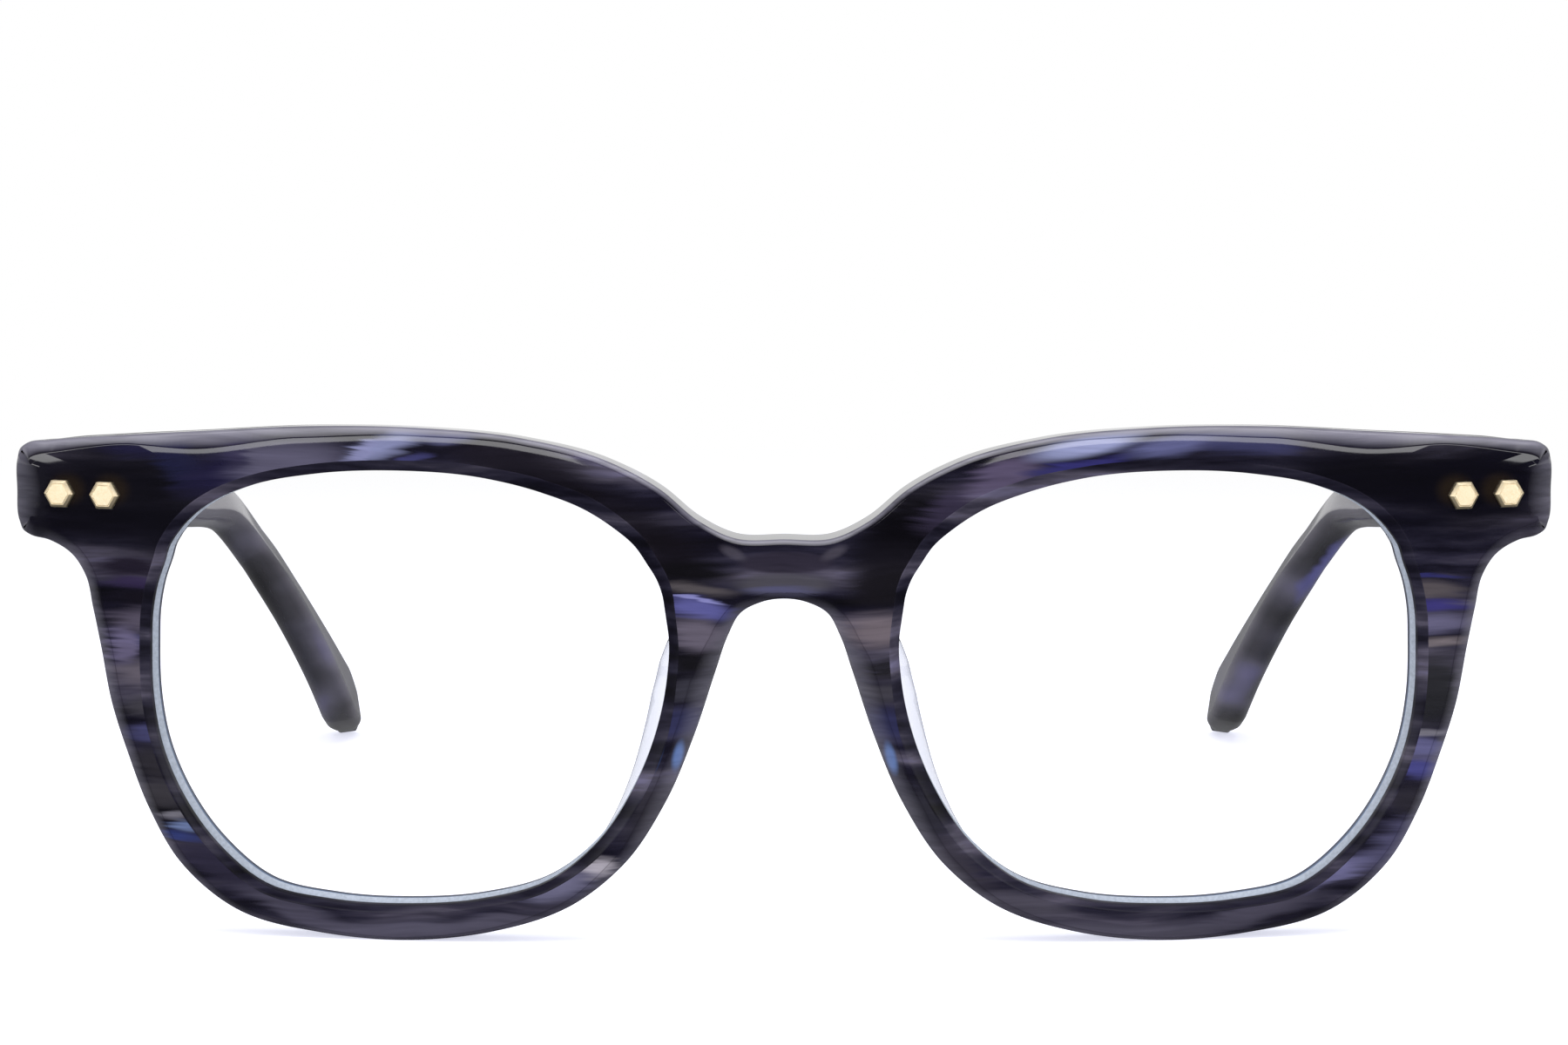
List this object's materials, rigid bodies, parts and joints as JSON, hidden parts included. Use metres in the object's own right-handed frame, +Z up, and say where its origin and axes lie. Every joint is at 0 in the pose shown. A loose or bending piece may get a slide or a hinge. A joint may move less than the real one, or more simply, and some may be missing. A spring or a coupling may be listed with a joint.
{
  "type": "rectangular eyeglasses",
  "caption": "Rectangular eyeglasses with a bevelled acetate front, clear lenses and nose pads, hexagonal studs and folding temples.",
  "frame": {"origin": "middle of the bounding box in X and Y, on the surface that the rims and the temple tips stand on", "axes": "+X towards the wearer's left, +Y from the front back towards the wearer, +Z up"},
  "size_m": [0.144, 0.1442, 0.0485],
  "materials": {
    "front_acetate": "cellulose acetate with streaks of navy, violet and grey, polished",
    "temple_acetate": "cellulose acetate in the same streaks, greyer, polished",
    "lens": "clear lens plastic, polished",
    "nose_pad": "clear acetate, polished",
    "stud": "pale gold plating, faceted and polished",
    "hinge": "nickel-plated, satin",
    "screw": "bright, slotted head",
    "core_wire": "rolled, plain"
  },
  "bodies": {
    "front": {"front_frame": "front_acetate", "lens_left": "lens", "lens_right": "lens", "nose_pad_left": "nose_pad", "nose_pad_right": "nose_pad", "stud_left_outer": "stud", "stud_left_inner": "stud", "stud_right_outer": "stud", "stud_right_inner": "stud", "hinge_front_leaf_left": "hinge", "hinge_front_leaf_right": "hinge", "hinge_screw_left": "screw", "hinge_screw_right": "screw"},
    "temple_left": {"temple_left": "temple_acetate", "hinge_temple_leaf_left": "hinge", "core_wire_left": "core_wire"},
    "temple_right": {"temple_right": "temple_acetate", "hinge_temple_leaf_right": "hinge", "core_wire_right": "core_wire"}
  },
  "joints": [
    {"name": "temple_left_fold", "type": "hinge", "parent": "front", "child": "temple_left", "pos_m": [0.0642, -0.05755, 0.04181], "axis": [0, 0, 1], "range_deg": [0, 84]},
    {"name": "temple_right_fold", "type": "hinge", "parent": "front", "child": "temple_right", "pos_m": [-0.0642, -0.05755, 0.04181], "axis": [0, 0, -1], "range_deg": [0, 78]}
  ]
}
